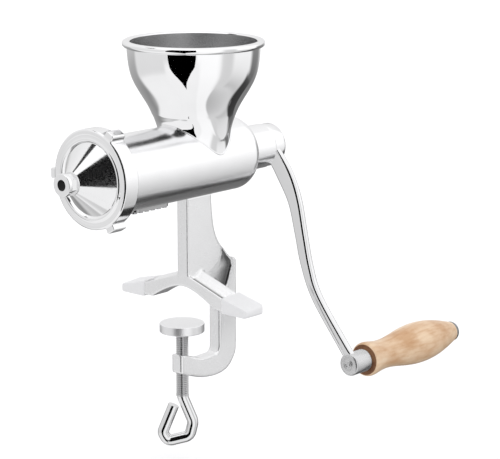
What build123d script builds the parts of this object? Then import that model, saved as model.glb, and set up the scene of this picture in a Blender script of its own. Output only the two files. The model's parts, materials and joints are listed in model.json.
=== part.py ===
from build123d import *
import math
import os

os.makedirs("parts", exist_ok=True)

# Frame: X across the machine, Y along the barrel towards the crank, Z up.
# Z = 0 is the table top that the feet stand on; the clamp screw's axis is the Z axis.

# ---- driving dimensions, mm ----
axis_z = 113.0            # barrel axis above the table top
hopper_y = 15.0           # hopper axis behind the clamp screw
running = 0.05            # radial clearance of a running fit

barrel_r = 29.0
bore_r = 26.0
barrel_front_y = -91.0
barrel_rear_y = 65.0
rear_round = 12.0
inner_wall_y = 50.0       # inside face of the barrel's closed end
boss_r = 17.5
boss_rear_y = 91.0
bush_r = 11.0
bush_front_y = 60.0
shaft_r = 8.0

rim_r = 54.4
rim_z = axis_z + 92.5
rim_depth = 5.0
mouth_r = 48.6
neck_r = 28.0
neck_wall = 2.0

thread_r = 29.5           # crest of the barrel's front thread
thread_pitch = 3.0
thread_length = 11.0
ring_r = 37.4
ring_front_y = -97.8
ring_rear_y = -83.5
ring_lip = 3.2
ring_mouth_r = 27.5
lug_r = 42.0
lug_width = 8.0
lug_angles = (60, 180, 300)

cone_flange_r = 29.2
cone_base_r = 27.1
cone_tip_r = 8.2
cone_tip_y = -115.0
outlet_r = 4.2
outlet_thread_r = 5.6
outlet_disc_r = 8.56
outlet_front_y = -125.0
outlet_hex = 13.0         # across flats

screen_outer_r = 25.9
screen_inner_r = 24.9
slot_half = 5.2           # half width of the juice slot under the barrel
slot_front_y = -54.0
slot_rear_y = -16.5
strip_r = 31.0            # underside of the drip strip, from the barrel axis
nipple_r = 32.6

leg_front_y = 0.8
frame_half = 5.8          # half thickness of the leg, web and bar
frame_round = 1.3
hollow_depth = 2.0
screw_boss_r = 6.9
bar_inner_y = 37.0
bar_outer_y = 57.0
arm_depth = 18.0
foot_x = 62.5             # tip of a bare foot
foot_z = 1.2
arch_z = 14.6
cover_x = 66.8
cover_inner_x = 41.0
cover_wall = 1.6

screw_r = 5.0
rod_r = 4.35
loop_turn = 41.6          # direction of the loop's plane at rest, degrees from X
pad_r = 17.5
pad_top_z = -14.2
pad_thick = 6.8
tip_r = 3.9

hub_r = 17.0
hub_front_y = 91.15
hub_rear_y = 104.0
crank_front_y = 91.5
crank_thick = 7.0
square = 11.0             # square drive on the shaft
spindle_x = 93.0
spindle_z = axis_z - 163.4
handle_boss_r = 9.0
handle_boss_front_y = 91.0
handle_boss_rear_y = 110.0
spindle_r = 4.0
grip_front_y = 111.0
grip_rear_y = 224.0
cap_r = 8.2
cap_rear_y = 228.6

barrel_axis = Axis((0, 0, axis_z), (0, 1, 0))
hopper_axis = Axis((0, hopper_y, 0), (0, 0, 1))
spindle_axis = Axis((spindle_x, 0, spindle_z), (0, 1, 0))


def barrel_plane(y):
    """Sketch plane across the barrel at y: local x is +X, local y is -Z."""
    return Plane(origin=(0, y, axis_z), x_dir=(1, 0, 0), z_dir=(0, 1, 0))


def spindle_plane(y):
    """Sketch plane across the grip's spindle at y."""
    return Plane(origin=(spindle_x, y, spindle_z), x_dir=(1, 0, 0), z_dir=(0, 1, 0))


def from_axis(point):
    """Distance of a point from the barrel's axis."""
    return math.hypot(point.X, point.Z - axis_z)


def finish(part, name):
    """Labels a finished piece and writes its STEP file."""
    part.label = name
    export_step(part, f"parts/{name}.step")


# ---- barrel: closed tube with a rear bearing boss ----
with BuildPart() as barrel:
    with BuildSketch(Plane.YZ):
        with BuildLine():
            Polyline(
                (inner_wall_y, axis_z + bush_r),
                (inner_wall_y, axis_z + bore_r),
                (barrel_front_y, axis_z + bore_r),
                (barrel_front_y, axis_z + barrel_r),
                (barrel_rear_y - rear_round, axis_z + barrel_r),
            )
            round_mid = rear_round * math.sqrt(0.5)
            ThreePointArc(
                (barrel_rear_y - rear_round, axis_z + barrel_r),
                (barrel_rear_y - rear_round + round_mid, axis_z + barrel_r - rear_round + round_mid),
                (barrel_rear_y, axis_z + barrel_r - rear_round),
            )
            Polyline(
                (barrel_rear_y, axis_z + barrel_r - rear_round),
                (barrel_rear_y, axis_z + boss_r),
                (boss_rear_y, axis_z + boss_r),
                (boss_rear_y, axis_z + bush_r),
                (inner_wall_y, axis_z + bush_r),
            )
        make_face()
    revolve(axis=barrel_axis)
    # thread crests at the open end
    thread_turns = int(thread_length / thread_pitch)
    for turn in range(thread_turns):
        crest_y = barrel_front_y + 1.2 + turn * thread_pitch
        with BuildSketch(Plane.YZ):
            with BuildLine():
                Polyline(
                    (crest_y - 0.9, axis_z + barrel_r - 0.2),
                    (crest_y - 0.3, axis_z + thread_r),
                    (crest_y + 0.3, axis_z + thread_r),
                    (crest_y + 0.9, axis_z + barrel_r - 0.2),
                    close=True,
                )
            make_face()
        revolve(axis=barrel_axis)
    # mouth under the hopper
    with BuildSketch(Plane.XY.offset(axis_z)):
        with Locations((0, hopper_y)):
            Circle(neck_r - neck_wall)
    extrude(amount=barrel_r + 5, mode=Mode.SUBTRACT)
    # juice slot along the underside
    with BuildSketch(Plane.XY.offset(axis_z - barrel_r - 5)):
        with Locations((0, (slot_front_y + slot_rear_y) / 2)):
            SlotOverall(slot_rear_y - slot_front_y, 2 * slot_half, rotation=90)
    extrude(amount=20, mode=Mode.SUBTRACT)
finish(barrel.part, "barrel")

# ---- hopper: spun bowl with a rolled rim, its neck cut to sit on the barrel ----
bowl_outer = [(50.7, 80), (49.2, 68), (45.5, 59), (40, 50), (35.2, 42.3), (32.0, 35.5), (30.2, 28)]
bowl_inner = [(48.3, 79), (47.0, 68.5), (43.6, 60.2), (38.3, 51.4), (33.3, 43.4), (30.0, 36), (28.1, 28)]
with BuildPart() as hopper:
    with BuildSketch(Plane.XZ.offset(-hopper_y)):
        with BuildLine():
            Spline(
                (neck_r - neck_wall, axis_z),
                *[(r, axis_z + z) for r, z in reversed(bowl_inner)],
                (mouth_r, rim_z - 1.0),
                tangents=[(0, 1), (0, 1)],
            )
            Polyline(
                (mouth_r, rim_z - 1.0),
                (mouth_r + 1.0, rim_z),
                (rim_r - 1.6, rim_z),
            )
            Spline(
                (rim_r - 1.6, rim_z),
                (rim_r, rim_z - 1.9),
                (rim_r - 0.9, rim_z - rim_depth + 0.6),
                (51.0, rim_z - rim_depth - 0.2),
                tangents=[(1, 0), (-1, 0)],
            )
            Spline(
                (51.0, rim_z - rim_depth - 0.2),
                *[(r, axis_z + z) for r, z in bowl_outer],
                (neck_r, axis_z),
                tangents=[(0, -1), (0, -1)],
            )
            Line((neck_r, axis_z), (neck_r - neck_wall, axis_z))
        make_face()
    revolve(axis=hopper_axis)
    with BuildSketch(Plane.XZ.offset(-hopper_y - 60)):
        with Locations((0, axis_z)):
            Circle(barrel_r)
    extrude(amount=120, mode=Mode.SUBTRACT)
finish(hopper.part, "hopper")

# ---- juice screen: sleeve inside the barrel with a drip strip through the slot ----
nipple_pitch = 6.4
nipple_count = 6
strip_half = slot_half - 0.2
strip_front_y = slot_front_y + 0.2
strip_rear_y = slot_rear_y - 0.2
strip_mid_y = (strip_front_y + strip_rear_y) / 2
with BuildPart() as juice_screen:
    with BuildSketch(barrel_plane(barrel_front_y + 0.5)):
        Circle(screen_outer_r)
    extrude(amount=strip_rear_y + 4 - barrel_front_y)
    with BuildSketch(Plane.XY.offset(axis_z - strip_r)):
        with Locations((0, strip_mid_y)):
            SlotOverall(strip_rear_y - strip_front_y, 2 * strip_half, rotation=90)
    extrude(amount=strip_r - 10)
    with BuildSketch(Plane.XY.offset(axis_z - nipple_r)):
        with Locations((0, strip_mid_y)):
            with GridLocations(1, nipple_pitch, 1, nipple_count):
                Circle(2.3)
    extrude(amount=4)
    with BuildSketch(barrel_plane(barrel_front_y)):
        Circle(screen_inner_r)
    extrude(amount=strip_rear_y + 6 - barrel_front_y, mode=Mode.SUBTRACT)
    with BuildSketch(Plane.XY.offset(axis_z - nipple_r - 1)):
        with Locations((0, strip_mid_y)):
            with GridLocations(1, nipple_pitch, 1, nipple_count):
                Circle(1.2)
    extrude(amount=14, mode=Mode.SUBTRACT)
finish(juice_screen.part, "juice_screen")

# ---- ring nut: three lugs, a rounded lip, an arc arrow cut in its face ----
with BuildPart() as ring_nut:
    with BuildSketch(barrel_plane(ring_front_y)):
        Circle(ring_r)
        with PolarLocations((ring_r + lug_r) / 2 - 1.5, len(lug_angles), start_angle=lug_angles[0]):
            RectangleRounded(lug_r - ring_r + 3, lug_width, 1.4)
    extrude(amount=ring_rear_y - ring_front_y)
    along_edges = ring_nut.edges().filter_by(Axis.Y)
    fillet(along_edges.filter_by(lambda e: abs(from_axis(e.center()) - ring_r) < 0.3), 0.8)
    fillet(ring_nut.faces().sort_by(Axis.Y)[0].outer_wire().edges(), 0.7)
    with BuildSketch(barrel_plane(ring_front_y)):
        Circle(ring_mouth_r)
    extrude(amount=ring_rear_y - ring_front_y, mode=Mode.SUBTRACT)
    with BuildSketch(barrel_plane(ring_front_y + ring_lip)):
        Circle(thread_r + 0.1)
    extrude(amount=ring_rear_y - ring_front_y, mode=Mode.SUBTRACT)
    round_edges = ring_nut.edges().filter_by(GeomType.CIRCLE)
    mouth_edges = round_edges.filter_by(lambda e: abs(e.radius - ring_mouth_r) < 0.01)
    fillet(mouth_edges.sort_by(Axis.Y)[0], ring_lip - 0.6)
    # generic turning arrow: two concentric grooves and a head
    with BuildSketch(barrel_plane(ring_front_y)):
        for groove_r in (31.9, 34.4):
            with BuildLine() as groove:
                CenterArc((0, 0), groove_r, 20, 58)
            offset(groove.line, amount=0.25)
        with PolarLocations(33.15, 1, start_angle=17):
            Triangle(a=4.6, b=4.0, c=4.0, rotation=0)
    extrude(amount=0.35, mode=Mode.SUBTRACT)
finish(ring_nut.part, "ring_nut")

# ---- nose cone: thin polished cone with a clamped flange ----
cone_flange_front_y = ring_front_y + ring_lip + 0.05
cone_flange_rear_y = barrel_front_y - 1.1
cone_base_y = -95.6
with BuildPart() as nose_cone:
    with BuildSketch(Plane.YZ):
        with BuildLine():
            Polyline(
                (cone_flange_rear_y, axis_z + cone_flange_r - 3.4),
                (cone_flange_rear_y, axis_z + cone_flange_r),
                (cone_flange_front_y, axis_z + cone_flange_r),
                (cone_flange_front_y, axis_z + cone_base_r),
                (cone_base_y, axis_z + cone_base_r),
                (cone_tip_y, axis_z + cone_tip_r),
                (cone_tip_y, axis_z + outlet_thread_r + running),
                (cone_tip_y + 5.0, axis_z + outlet_thread_r + running),
                close=True,
            )
        make_face()
    revolve(axis=barrel_axis)
finish(nose_cone.part, "nose_cone")

# ---- cone gasket: soft ring between the cone's flange and the barrel's end ----
with BuildPart() as cone_gasket:
    with BuildSketch(barrel_plane(cone_flange_rear_y + 0.03)):
        Circle(cone_flange_r)
        Circle(cone_flange_r - 3.0, mode=Mode.SUBTRACT)
    extrude(amount=1.0)
finish(cone_gasket.part, "cone_gasket")

# ---- outlet: threaded nozzle with a hexagon and a round front disc, over a washer ----
washer_thick = 0.9
with BuildPart() as outlet_washer:
    with BuildSketch(barrel_plane(cone_tip_y - 0.05 - washer_thick)):
        Circle(cone_tip_r + 0.5)
        Circle(outlet_thread_r + 0.1, mode=Mode.SUBTRACT)
    extrude(amount=washer_thick)
finish(outlet_washer.part, "outlet_washer")

outlet_disc = 3.4
outlet_shoulder_y = cone_tip_y - washer_thick - 0.1
with BuildPart() as outlet_nozzle:
    with BuildSketch(barrel_plane(outlet_front_y)):
        Circle(outlet_disc_r)
    extrude(amount=outlet_disc)
    fillet(outlet_nozzle.edges().filter_by(GeomType.CIRCLE), 0.6)
    with BuildSketch(barrel_plane(outlet_front_y + outlet_disc)):
        RegularPolygon(outlet_hex / 2, 6, major_radius=False, rotation=30)
    extrude(amount=outlet_shoulder_y - outlet_front_y - outlet_disc)
    with BuildSketch(barrel_plane(outlet_shoulder_y)):
        Circle(outlet_thread_r)
    extrude(amount=8.0)
    with BuildSketch(barrel_plane(outlet_front_y)):
        Circle(outlet_r)
    extrude(amount=30, mode=Mode.SUBTRACT)
finish(outlet_nozzle.part, "outlet_nozzle")

# ---- auger: tapered core, one helical flight, rear flange and a square-ended shaft ----
core_r = 13.0
core_front_r = 8.0
core_front_y = -88.0
core_rear_y = 44.0
flight_r = 24.4
flight_pitch = 30.0
flight_turns = 4
flight_thick = 3.2
with BuildPart() as auger:
    with BuildSketch(Plane.YZ):
        with BuildLine():
            Polyline(
                (core_front_y, axis_z),
                (core_front_y, axis_z + core_front_r),
                (core_rear_y, axis_z + core_r),
                (core_rear_y, axis_z + flight_r),
                (core_rear_y + 3.6, axis_z + flight_r),
                (core_rear_y + 3.6, axis_z + shaft_r - running),
                (boss_rear_y + 0.1, axis_z + shaft_r - running),
                (boss_rear_y + 0.1, axis_z),
                close=True,
            )
        make_face()
    revolve(axis=barrel_axis)
    with BuildLine():
        flight_path = Helix(
            pitch=flight_pitch,
            height=flight_pitch * flight_turns,
            radius=core_front_r - 1.5,
            center=(0, core_front_y + 6, axis_z),
            direction=(0, 1, 0),
        )
    flight_depth = flight_r - core_front_r + 1.5
    with BuildSketch(Plane(origin=flight_path @ 0, x_dir=(0, 0, 1), z_dir=(-1, 0, 0))):
        with Locations((flight_depth / 2, 0)):
            Rectangle(flight_depth, flight_thick)
    sweep(path=flight_path, is_frenet=True)
    with BuildSketch(barrel_plane(boss_rear_y + 0.1)):
        Rectangle(square - 0.1, square - 0.1)
    extrude(amount=hub_rear_y - 1.0 - boss_rear_y)
    with BuildSketch(barrel_plane(hub_rear_y + 1)):
        Circle(3.0)
    extrude(amount=-22, mode=Mode.SUBTRACT)
finish(auger.part, "auger")

# ---- bearing parts on the shaft ----
with BuildPart() as rear_bush:
    with BuildSketch(barrel_plane(bush_front_y)):
        Circle(bush_r)
        Circle(shaft_r, mode=Mode.SUBTRACT)
    extrude(amount=boss_rear_y - bush_front_y)
finish(rear_bush.part, "rear_bush")

with BuildPart() as shaft_seal:
    with BuildSketch(Plane.YZ):
        with Locations((bush_front_y - 3, axis_z + (shaft_r + bush_r) / 2)):
            Circle((bush_r - shaft_r) / 2 - 0.05)
    revolve(axis=barrel_axis)
finish(shaft_seal.part, "shaft_seal")

with BuildPart() as thrust_washer:
    with BuildSketch(barrel_plane(core_rear_y + 3.7)):
        Circle(20.0)
        Circle(shaft_r + 0.1, mode=Mode.SUBTRACT)
    extrude(amount=inner_wall_y - core_rear_y - 3.8)
finish(thrust_washer.part, "thrust_washer")

# ---- crank arm: round hub, S-shaped flat arm, round handle boss ----
arm_left = [
    (7.9, -11.6),
    (16.0, -23.2),
    (28.4, -43.4),
    (35.4, -67.6),
    (41.6, -91.0),
    (53.7, -117.3),
    (81.4, -152.4),
]
arm_right = [
    (17.5, -1.0),
    (31.2, -18.7),
    (40.0, -39.1),
    (46.3, -67.0),
    (52.4, -92.3),
    (61.6, -113.9),
    (90.0, -149.5),
]
with BuildPart() as crank_arm:
    with BuildSketch(Plane.XZ.offset(-crank_front_y)):
        with BuildLine():
            Spline(*[(x, axis_z + z) for x, z in arm_left])
            Polyline(
                (81.4, axis_z - 152.4),
                (90.0, axis_z - 162.5),
                (97.5, axis_z - 158.5),
                (90.0, axis_z - 149.5),
            )
            Spline(*[(x, axis_z + z) for x, z in reversed(arm_right)])
            Polyline((17.5, axis_z - 1.0), (2.0, axis_z + 5.0), (7.9, axis_z - 11.6))
        make_face()
    extrude(amount=-crank_thick)
    fillet(crank_arm.faces().filter_by(Axis.Y).edges(), 2.2)
    with BuildSketch(Plane.YZ):
        with Locations(((hub_front_y + hub_rear_y) / 2, axis_z)):
            RectangleRounded(hub_rear_y - hub_front_y, 2 * hub_r, 1.0)
        with Locations(((hub_front_y + hub_rear_y) / 2, axis_z - hub_r)):
            Rectangle(2 * hub_r, 2 * hub_r, mode=Mode.SUBTRACT)
    revolve(axis=barrel_axis)
    with BuildSketch(Plane.YZ.offset(spindle_x)):
        with Locations(((handle_boss_front_y + handle_boss_rear_y) / 2, spindle_z)):
            RectangleRounded(handle_boss_rear_y - handle_boss_front_y, 2 * handle_boss_r, 0.9)
        with Locations(((handle_boss_front_y + handle_boss_rear_y) / 2, spindle_z - handle_boss_r)):
            Rectangle(30, 2 * handle_boss_r, mode=Mode.SUBTRACT)
    revolve(axis=spindle_axis)
    with BuildSketch(barrel_plane(hub_front_y - 1)):
        Rectangle(square, square)
    extrude(amount=hub_rear_y - hub_front_y + 3, mode=Mode.SUBTRACT)
    with BuildSketch(spindle_plane(handle_boss_front_y - 1)):
        Circle(spindle_r + 0.02)
    extrude(amount=handle_boss_rear_y - handle_boss_front_y + 2, mode=Mode.SUBTRACT)
finish(crank_arm.part, "crank_arm")

# ---- crank fastening: washer over the square, bolt into the shaft ----
crank_washer_thick = 1.6
with BuildPart() as crank_washer:
    with BuildSketch(barrel_plane(hub_rear_y + 0.05)):
        Circle(9.5)
        Circle(3.2, mode=Mode.SUBTRACT)
    extrude(amount=crank_washer_thick)
finish(crank_washer.part, "crank_washer")

bolt_head_y = hub_rear_y + 0.1 + crank_washer_thick
with BuildPart() as crank_bolt:
    with BuildSketch(barrel_plane(bolt_head_y)):
        RegularPolygon(5.0, 6, major_radius=False)
    extrude(amount=4.0)
    with BuildSketch(barrel_plane(bolt_head_y)):
        Circle(2.95)
    extrude(amount=-20)
    chamfer(crank_bolt.faces().sort_by(Axis.Y)[-1].edges(), 0.5)
finish(crank_bolt.part, "crank_bolt")

# ---- handle: spindle riveted in the crank, turned grip, washer and end cap ----
spindle_head_r = 4.6
with BuildPart() as handle_spindle:
    with BuildSketch(spindle_plane(handle_boss_front_y - 0.9)):
        Circle(spindle_head_r)
    extrude(amount=0.85)
    fillet(handle_spindle.faces().sort_by(Axis.Y)[0].edges(), 0.5)
    with BuildSketch(spindle_plane(handle_boss_front_y - 0.06)):
        Circle(spindle_r)
    extrude(amount=grip_rear_y + 3.0 - handle_boss_front_y)
    with BuildSketch(spindle_plane(handle_boss_front_y - 1)):
        RegularPolygon(1.9, 6)
    extrude(amount=2.6, mode=Mode.SUBTRACT)
finish(handle_spindle.part, "handle_spindle")

with BuildPart() as grip_washer:
    with BuildSketch(spindle_plane(handle_boss_rear_y + 0.08)):
        Circle(6.8)
        Circle(spindle_r + 0.1, mode=Mode.SUBTRACT)
    extrude(amount=0.8)
finish(grip_washer.part, "grip_washer")

grip_profile = [
    (0.0, 12.6),
    (4.0, 13.8),
    (9.0, 13.0),
    (15.0, 12.1),
    (22.0, 11.7),
    (34.0, 12.6),
    (49.0, 15.0),
    (62.0, 16.4),
    (74.0, 16.3),
    (86.0, 14.8),
    (98.0, 12.1),
    (grip_rear_y - grip_front_y, 8.8),
]
with BuildPart() as grip:
    with BuildSketch(Plane.YZ.offset(spindle_x)):
        with BuildLine():
            grip_curve = [(grip_front_y + y, spindle_z + r) for y, r in grip_profile]
            Spline(*grip_curve)
            Polyline(
                grip_curve[-1],
                (grip_rear_y, spindle_z + spindle_r + 0.1),
                (grip_front_y, spindle_z + spindle_r + 0.1),
                grip_curve[0],
            )
        make_face()
    revolve(axis=spindle_axis)
    fillet(grip.faces().sort_by(Axis.Y)[0].outer_wire().edges(), 1.0)
finish(grip.part, "grip")

with BuildPart() as grip_cap:
    with BuildSketch(Plane.YZ.offset(spindle_x)):
        with BuildLine():
            Polyline(
                (cap_rear_y, spindle_z),
                (grip_rear_y + 0.3, spindle_z),
                (grip_rear_y + 0.3, spindle_z + cap_r),
                (grip_rear_y + 1.2, spindle_z + cap_r),
            )
            Spline(
                (grip_rear_y + 1.2, spindle_z + cap_r),
                (cap_rear_y - 1.4, spindle_z + cap_r - 2.6),
                (cap_rear_y, spindle_z),
                tangents=[(1, -0.4), (0, -1)],
            )
        make_face()
    revolve(axis=spindle_axis)
    with BuildSketch(spindle_plane(grip_rear_y)):
        Circle(spindle_r + 0.02)
    extrude(amount=3.05, mode=Mode.SUBTRACT)
finish(grip_cap.part, "grip_cap")

# ---- arms: dished on top, sloping out to the feet, arched underneath ----
arm_slope = math.atan2(9.6, 28.5)
arm_out = (math.cos(arm_slope), 0, -math.sin(arm_slope))
arm_root_z = 25.3         # where the arm's front top edge would meet the centre plane
arm_rear_y = leg_front_y + arm_depth
arm_plane = Plane(origin=(0, 0, arm_root_z), x_dir=(0, 1, 0), z_dir=arm_out)
cover_slope = math.radians(13.6)
cover_front_z = 12.2      # height of the cover's front top edge at its inner end
cover_rear_z = 13.8
tip_top_z = 12.0          # top of the covered arm tip at its inner end
tip_drop = (cover_x - cover_inner_x) * math.tan(cover_slope)
with BuildPart() as arms:
    with BuildSketch(arm_plane):
        with BuildLine():
            Polyline((leg_front_y, -40), (leg_front_y, 0), (leg_front_y + 1.4, 0))
            Spline(
                (leg_front_y + 1.4, 0),
                (leg_front_y + 6.5, -1.9),
                (leg_front_y + 13.0, 1.4),
                (leg_front_y + 16.0, 2.0),
                (arm_rear_y, 0.2),
            )
            Polyline((arm_rear_y, 0.2), (arm_rear_y, -40), (leg_front_y, -40))
        make_face()
    extrude(amount=80)
    # the tips are lower where the covers sit on them
    with BuildSketch(Plane.XZ):
        Polygon(
            (cover_inner_x - 0.1, 60),
            (cover_inner_x - 0.1, tip_top_z),
            (cover_x, tip_top_z - tip_drop),
            (cover_x + 20, tip_top_z - tip_drop),
            (cover_x + 20, 60),
            align=None,
        )
    extrude(amount=-60, mode=Mode.SUBTRACT)
    mirror(about=Plane.YZ)
    with BuildSketch(Plane.XZ):
        with BuildLine():
            Spline(
                (-33.0, foot_z),
                (-25.0, 6.0),
                (-16.5, 10.3),
                (0, arch_z),
                (16.5, 10.3),
                (25.0, 6.0),
                (33.0, foot_z),
            )
            Polyline(
                (33.0, foot_z),
                (foot_x, foot_z),
                (foot_x, 60),
                (-foot_x, 60),
                (-foot_x, foot_z),
                (-33.0, foot_z),
            )
        make_face()
    extrude(amount=-60, mode=Mode.INTERSECT)

# ---- boss at the front of the lower arm, round about the screw ----
with BuildPart() as screw_boss:
    with BuildSketch(Plane.YZ):
        Polygon((-8, -37.8), (8, -43.0), (8, -58.9), (-8, -53.0), align=None)
    extrude(amount=screw_boss_r, both=True)
    with BuildSketch(Plane.XY.offset(-60)):
        Circle(screw_boss_r)
    extrude(amount=30, mode=Mode.INTERSECT)

# ---- stand: front leg, web and C frame in one casting with the arms ----
leg_top_z = axis_z - 8.0
with BuildPart() as stand_frame:
    # web and C frame, as seen from the side
    with BuildSketch(Plane.YZ):
        with BuildLine():
            Line((leg_front_y, leg_top_z), (leg_front_y, arch_z))
            FilletPolyline(
                (leg_front_y, arch_z),
                (bar_inner_y, arch_z),
                (bar_inner_y, -45.6),
                (18.0, -46.2),
                (0.0, -40.4),
                radius=5.0,
            )
            Line((0.0, -40.4), (0.0, -55.9))
            Spline(
                (0.0, -55.9),
                (17.9, -61.4),
                (33.5, -62.6),
                (47.0, -59.2),
                (54.4, -51.3),
                (bar_outer_y, -37.0),
                tangents=[(0.94, -0.35), (0, 1)],
            )
            Line((bar_outer_y, -37.0), (bar_outer_y, 26.5))
            Spline(
                (bar_outer_y, 26.5),
                (54.8, 29.3),
                (50.3, 30.7),
                (44.7, 35.8),
                (38.0, 43.3),
                (32.6, 53.1),
                (29.9, 64.4),
                (28.3, 80.0),
            )
            Polyline((28.3, 80.0), (28.3, leg_top_z), (leg_front_y, leg_top_z))
        make_face()
    extrude(amount=frame_half, both=True)
    side_edges = stand_frame.faces().filter_by(Axis.X).edges()
    long_edges = side_edges.filter_by(GeomType.LINE).filter_by(Axis.Z).filter_by(lambda e: e.length > 30)
    fillet(long_edges.filter_by_position(Axis.Y, leg_front_y - 1, bar_inner_y + 1), frame_round)
    # hollows in both sides of the web, between the leg and the bar's rim
    with BuildSketch(Plane.YZ.offset(frame_half - hollow_depth)):
        Polygon(
            (39.6, 39.0),
            (40.1, 34.6),
            (37.6, 29.4),
            (33.0, 26.2),
            (24.0, 23.0),
            (24.0, 8.0),
            (45.0, 8.0),
            (48.6, 16.8),
            (51.2, 23.0),
            (50.0, 27.6),
            (45.0, 32.8),
            align=None,
        )
    hollow = extrude(amount=10, mode=Mode.SUBTRACT)
    mirror(hollow, about=Plane.YZ, mode=Mode.SUBTRACT)
    add(arms.part)
    add(screw_boss.part)
    # saddle for the barrel and clearance hole for the clamp screw
    with BuildSketch(barrel_plane(-10)):
        Circle(barrel_r)
    extrude(amount=60, mode=Mode.SUBTRACT)
    with BuildSketch(Plane.XY.offset(-70)):
        Circle(screw_r + running)
    extrude(amount=40, mode=Mode.SUBTRACT)
finish(stand_frame.part, "stand_frame")

# ---- foot covers: soft wedges pulled over the arm tips ----
cover_out = (math.cos(cover_slope), 0, -math.sin(cover_slope))
cover_plane = Plane(origin=(cover_inner_x, 0, 0), x_dir=(0, 1, 0), z_dir=cover_out)
cover_rise = math.cos(cover_slope)
with BuildPart() as cover_blank:
    with BuildSketch(cover_plane):
        Polygon(
            (leg_front_y - cover_wall, -30),
            (leg_front_y - cover_wall, cover_front_z * cover_rise),
            (arm_rear_y + cover_wall, cover_rear_z * cover_rise),
            (arm_rear_y + cover_wall, -30),
            align=None,
        )
    extrude(amount=60, both=True)
    with BuildSketch(Plane.XZ):
        Polygon((cover_inner_x, 0), (cover_x, 0), (cover_x, 40), (cover_inner_x, 40), align=None)
    extrude(amount=-60, mode=Mode.INTERSECT)
    tip_edges = cover_blank.faces().sort_by(Axis.X)[-1].edges()
    fillet(tip_edges, 2.4)
    add(arms.part, mode=Mode.SUBTRACT)
with BuildPart() as foot_cover_right:
    add(cover_blank.part)
finish(foot_cover_right.part, "foot_cover_right")
with BuildPart() as foot_cover_left:
    add(mirror(cover_blank.part, about=Plane.YZ, mode=Mode.PRIVATE))
finish(foot_cover_left.part, "foot_cover_left")

# ---- clamp screw: threaded rod, journal tip, and its lower end bent into a loop ----
loop_dir = (math.cos(math.radians(loop_turn)), math.sin(math.radians(loop_turn)), 0)
loop_normal = (loop_dir[1], -loop_dir[0], 0)
loop_plane = Plane(origin=(0, 0, 0), x_dir=loop_dir, z_dir=loop_normal)
thread_end_z = -73.0
pad_bottom_z = pad_top_z - pad_thick
socket_top_z = pad_top_z - 2.0
clip_bottom_z = pad_bottom_z + 0.6
clip_top_z = pad_bottom_z + 2.4
with BuildPart() as clamp_screw:
    with BuildLine(loop_plane):
        loop_path = FilletPolyline(
            (0, thread_end_z + 8),
            (0, thread_end_z - 1),
            (8.3, -94.5),
            (5.5, -106.2),
            (-11.5, -110.5),
            (-15.9, -103.5),
            (-6.9, -81.0),
            radius=[14, 9, 6, 4.6, 5.6],
        )
    with BuildSketch(Plane.XY.offset(thread_end_z + 8)):
        Circle(rod_r)
    sweep(path=loop_path)
    with BuildSketch(Plane.YZ):
        with BuildLine():
            Polyline(
                (0, thread_end_z),
                (screw_r - 0.2, thread_end_z),
                (screw_r, thread_end_z + 0.2),
                (screw_r, pad_bottom_z - 0.7),
                (screw_r - 0.6, pad_bottom_z - 0.1),
                (tip_r - 0.9, pad_bottom_z - 0.1),
                (tip_r - 0.9, clip_top_z + 0.1),
                (tip_r, clip_top_z + 0.1),
                (tip_r, socket_top_z - 0.3),
                (0, socket_top_z - 0.3),
                close=True,
            )
        make_face()
    revolve(axis=Axis.Z)
finish(clamp_screw.part, "clamp_screw")

# ---- clamp pad: flat disc with a blind socket, and the ring that keeps the tip in it ----
with BuildPart() as clamp_pad:
    with BuildSketch(Plane.XY.offset(pad_bottom_z)):
        Circle(pad_r)
    extrude(amount=pad_thick)
    fillet(clamp_pad.edges().filter_by(GeomType.CIRCLE), 0.7)
    with BuildSketch(Plane.XY.offset(pad_bottom_z)):
        Circle(tip_r + 0.1)
    extrude(amount=socket_top_z - pad_bottom_z, mode=Mode.SUBTRACT)
    with BuildSketch(Plane.XY.offset(pad_bottom_z)):
        Circle(6.0)
    extrude(amount=clip_top_z + 0.05 - pad_bottom_z, mode=Mode.SUBTRACT)
finish(clamp_pad.part, "clamp_pad")

with BuildPart() as pad_ring:
    with BuildSketch(Plane.XY.offset(clip_bottom_z)):
        Circle(5.98)
        Circle(tip_r - 0.85, mode=Mode.SUBTRACT)
    extrude(amount=clip_top_z - clip_bottom_z)
finish(pad_ring.part, "pad_ring")
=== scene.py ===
import bmesh
import bpy
import json
import math
from mathutils import Matrix, Vector


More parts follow.
